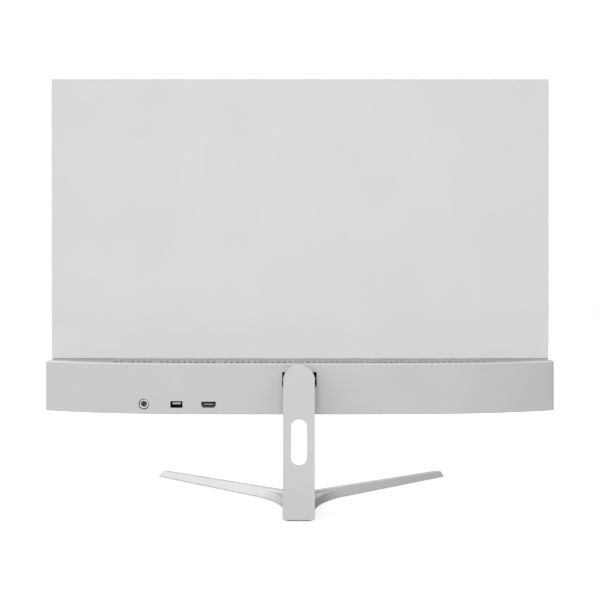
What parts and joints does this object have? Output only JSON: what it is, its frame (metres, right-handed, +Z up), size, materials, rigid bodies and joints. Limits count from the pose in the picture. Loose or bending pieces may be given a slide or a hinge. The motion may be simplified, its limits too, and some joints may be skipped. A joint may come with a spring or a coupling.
{
  "type": "all in one pc",
  "caption": "Thin flat display over a bowed electronics housing with rear connectors, tilting on a leaning post with a low V-shaped base.",
  "frame": {"origin": "on the desk surface, below the middle of the machine", "axes": "+X across the machine, to the left when it is seen from behind; +Y out of the back, the screen faces -Y; +Z up"},
  "size_m": [0.54, 0.2186, 0.453],
  "materials": {
    "screen_glass": "gloss black-backed cover glass",
    "display_back_cover": "fine satin silver-grey paint",
    "front_lower_cover": "fine satin silver-grey paint",
    "rear_housing": "fine spark-eroded texture, light grey",
    "power_button": "satin light grey",
    "post": "satin silver paint",
    "base": "satin silver paint",
    "foot_pad_post": "moulded black rubber",
    "foot_pad_left": "moulded black rubber",
    "foot_pad_right": "moulded black rubber",
    "hinge_arm": "black powder coat",
    "usb_port_shell": "stamped nickel-plated sheet",
    "usb_port_tongue": "moulded light grey insulator",
    "hdmi_port_shell": "stamped nickel-plated sheet",
    "hdmi_port_tongue": "moulded grey insulator",
    "dc_jack_shell": "nickel-plated",
    "dc_jack_pin": "plated brass",
    "display_cell": "dark polarised glass",
    "light_guide": "clear acrylic sheet",
    "light_bar": "white board with lights",
    "backlight_tray": "pressed sheet",
    "camera_module": "black moulding with a lens",
    "chassis_plate": "galvanised sheet",
    "main_board": "green solder mask",
    "processor": "black package",
    "cooler_plate": "copper, skimmed flat",
    "wireless_card": "green solder mask",
    "memory_module": "green solder mask",
    "storage_module": "green solder mask",
    "clock_battery": "bright cell",
    "display_cable": "amber film",
    "heat_pipe": "copper tube",
    "fin_stack": "bare fins",
    "fan_housing": "black moulding",
    "fan_lid": "stamped sheet",
    "fan_rotor": "black moulding",
    "speaker_left": "black moulding",
    "speaker_right": "black moulding",
    "button_switch": "small board with a switch",
    "hinge_bracket_left": "pressed steel",
    "hinge_bracket_right": "pressed steel",
    "hinge_shaft": "ground steel",
    "friction_disc_left": "greased steel",
    "friction_disc_right": "greased steel",
    "shaft_nut_left": "zinc-plated",
    "shaft_nut_right": "zinc-plated",
    "housing_screw_left": "zinc-plated",
    "housing_screw_right": "zinc-plated",
    "arm_screw_upper": "zinc-plated",
    "arm_screw_lower": "zinc-plated",
    "tongue_screw_front": "zinc-plated",
    "tongue_screw_rear": "zinc-plated"
  },
  "bodies": {
    "stand": {"base": "base", "post": "post", "hinge_arm": "hinge_arm", "foot_pad_post": "foot_pad_post", "foot_pad_left": "foot_pad_left", "foot_pad_right": "foot_pad_right", "arm_screw_upper": "arm_screw_upper", "arm_screw_lower": "arm_screw_lower", "tongue_screw_front": "tongue_screw_front", "tongue_screw_rear": "tongue_screw_rear"},
    "head": {"screen_glass": "screen_glass", "display_back_cover": "display_back_cover", "front_lower_cover": "front_lower_cover", "rear_housing": "rear_housing", "usb_port_shell": "usb_port_shell", "usb_port_tongue": "usb_port_tongue", "hdmi_port_shell": "hdmi_port_shell", "hdmi_port_tongue": "hdmi_port_tongue", "dc_jack_shell": "dc_jack_shell", "dc_jack_pin": "dc_jack_pin", "display_cell": "display_cell", "light_guide": "light_guide", "light_bar": "light_bar", "backlight_tray": "backlight_tray", "camera_module": "camera_module", "chassis_plate": "chassis_plate", "main_board": "main_board", "processor": "processor", "cooler_plate": "cooler_plate", "wireless_card": "wireless_card", "memory_module": "memory_module", "storage_module": "storage_module", "clock_battery": "clock_battery", "display_cable": "display_cable", "heat_pipe": "heat_pipe", "fin_stack": "fin_stack", "fan_housing": "fan_housing", "fan_lid": "fan_lid", "speaker_left": "speaker_left", "speaker_right": "speaker_right", "button_switch": "button_switch", "hinge_bracket_left": "hinge_bracket_left", "hinge_bracket_right": "hinge_bracket_right", "hinge_shaft": "hinge_shaft", "friction_disc_left": "friction_disc_left", "friction_disc_right": "friction_disc_right", "shaft_nut_left": "shaft_nut_left", "shaft_nut_right": "shaft_nut_right", "housing_screw_left": "housing_screw_left", "housing_screw_right": "housing_screw_right"},
    "fan_rotor": {"fan_rotor": "fan_rotor"},
    "power_button": {"power_button": "power_button"}
  },
  "joints": [
    {"name": "tilt", "type": "hinge", "parent": "stand", "child": "head", "pos_m": [0, 0.046, 0.1317], "axis": [-1, 0, 0], "range_deg": [-5, 20]},
    {"name": "fan_spin", "type": "hinge", "parent": "head", "child": "fan_rotor", "pos_m": [-0.129, 0.0245, 0.119], "axis": [0, 0, 1], "continuous": true},
    {"name": "power_press", "type": "slide", "parent": "head", "child": "power_button", "axis": [0, 0, 1], "range_m": [0, 0.0008], "stiffness_N_per_m": 900}
  ]
}
